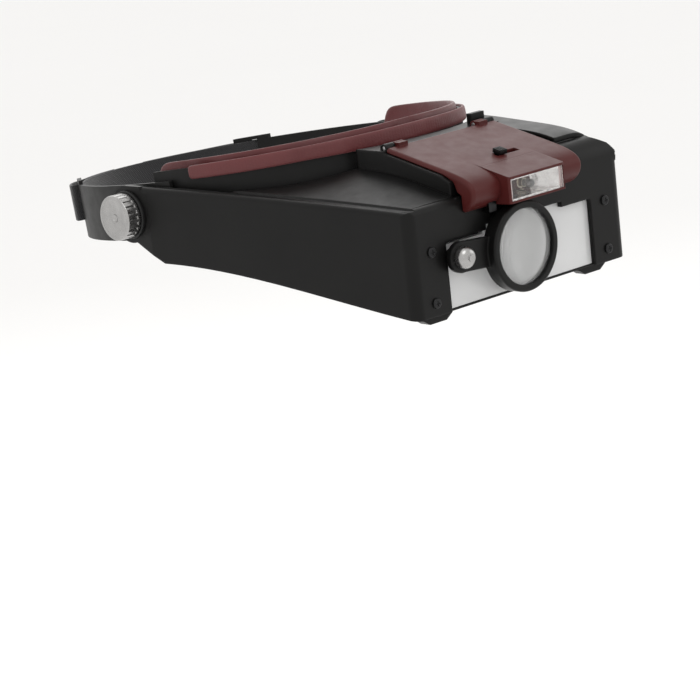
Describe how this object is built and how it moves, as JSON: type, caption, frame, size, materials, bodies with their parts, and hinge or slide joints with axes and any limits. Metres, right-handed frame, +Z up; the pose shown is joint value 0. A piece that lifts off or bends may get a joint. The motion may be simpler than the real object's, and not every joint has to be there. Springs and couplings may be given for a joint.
{
  "type": "head visor magnifier",
  "caption": "Tilting head visor magnifier: flip-up lens, swing-out loupe, lamp and battery box on an adjustable padded headband.",
  "frame": {"origin": "midway between the two tilt pivots, on their common axis", "axes": "+X the wearer's left, -Y the front, +Z up"},
  "size_m": [0.186, 0.2903, 0.0778],
  "materials": {
    "black_plastic": "fine satin moulded grain",
    "band_plastic": "satin moulded",
    "washer_black": "satin",
    "maroon_plastic": "semi-gloss moulded",
    "maroon_leatherette": "fine ribbed grain",
    "liner_foam": "foam-backed knit",
    "webbing": "woven",
    "hook_and_loop": "hook and loop pile",
    "nickel": "satin nickel",
    "steel": "plated",
    "clear_acrylic": "polished clear",
    "optical_glass": "polished",
    "black_steel": "black oxide",
    "reflector_silver": "vacuum-coated mirror",
    "brass_collar": "plated",
    "cell_jacket": "printed jacket"
  },
  "bodies": {
    "headband": {"front_band": "maroon_leatherette", "band_carrier": "band_plastic", "sweatband_pad": "liner_foam", "rear_strap": "webbing", "band_rivets": "steel", "right_tilt_bolt": "steel", "right_spacer_washer": "washer_black", "right_side_plate": "band_plastic", "right_strap_tail": "webbing", "right_strap_fold": "webbing", "right_hook_patch": "hook_and_loop", "left_tilt_bolt": "steel", "left_spacer_washer": "washer_black", "left_side_plate": "band_plastic", "left_strap_tail": "webbing", "left_strap_fold": "webbing", "left_hook_patch": "hook_and_loop"},
    "visor": {"visor_shell": "black_plastic", "battery_tray": "black_plastic", "lid_hinge_pins": "steel", "front_battery": "cell_jacket", "rear_battery": "cell_jacket", "contact_springs": "steel", "positive_contact": "steel", "negative_contact": "steel", "front_lens_frame": "black_plastic", "front_lens": "clear_acrylic", "fascia_screws": "black_steel", "flip_hinge_brackets": "black_plastic", "flip_hinge_pin": "steel", "loupe_bolt": "steel", "loupe_bush": "black_plastic", "loupe_nut": "steel", "loupe_knob": "nickel", "right_arm_washer": "washer_black", "left_arm_washer": "washer_black"},
    "lid": {"battery_cover": "maroon_plastic", "lamp_housing": "maroon_plastic", "lamp_reflector": "reflector_silver", "lamp_bulb": "optical_glass", "bulb_holder": "brass_collar", "lamp_window": "clear_acrylic", "lid_latch": "black_steel", "switch_body": "steel"},
    "switch": {"switch_slider": "black_plastic"},
    "flip_lens": {"flip_lens_frame": "black_plastic", "flip_lens": "clear_acrylic"},
    "loupe": {"loupe_arm": "black_plastic", "loupe_lens": "optical_glass"},
    "right_knob": {"right_tilt_knob": "nickel"},
    "left_knob": {"left_tilt_knob": "nickel"}
  },
  "joints": [
    {"name": "visor_tilt", "type": "hinge", "parent": "headband", "child": "visor", "pos_m": [0, 0, 0], "axis": [-1, 0, 0], "range_deg": [-6, 70]},
    {"name": "right_knob_turn", "type": "hinge", "parent": "visor", "child": "right_knob", "pos_m": [-0.09, 0, 0], "axis": [-1, 0, 0], "range_deg": [-180, 180]},
    {"name": "left_knob_turn", "type": "hinge", "parent": "visor", "child": "left_knob", "pos_m": [0.09, 0, 0], "axis": [1, 0, 0], "range_deg": [-180, 180]},
    {"name": "flip_lens_fold", "type": "hinge", "parent": "visor", "child": "flip_lens", "pos_m": [0, -0.1566, -0.0042], "axis": [1, 0, 0], "range_deg": [0, 80]},
    {"name": "loupe_swing", "type": "hinge", "parent": "visor", "child": "loupe", "pos_m": [-0.0415, -0.17, -0.016], "axis": [0, 1, 0], "range_deg": [0, 180]},
    {"name": "lid_open", "type": "hinge", "parent": "visor", "child": "lid", "pos_m": [0, -0.1215, 0.027], "axis": [-1, 0, 0], "range_deg": [0, 95]},
    {"name": "switch_slide", "type": "slide", "parent": "lid", "child": "switch", "axis": [1, 0, 0], "range_m": [0, 0.006]}
  ]
}
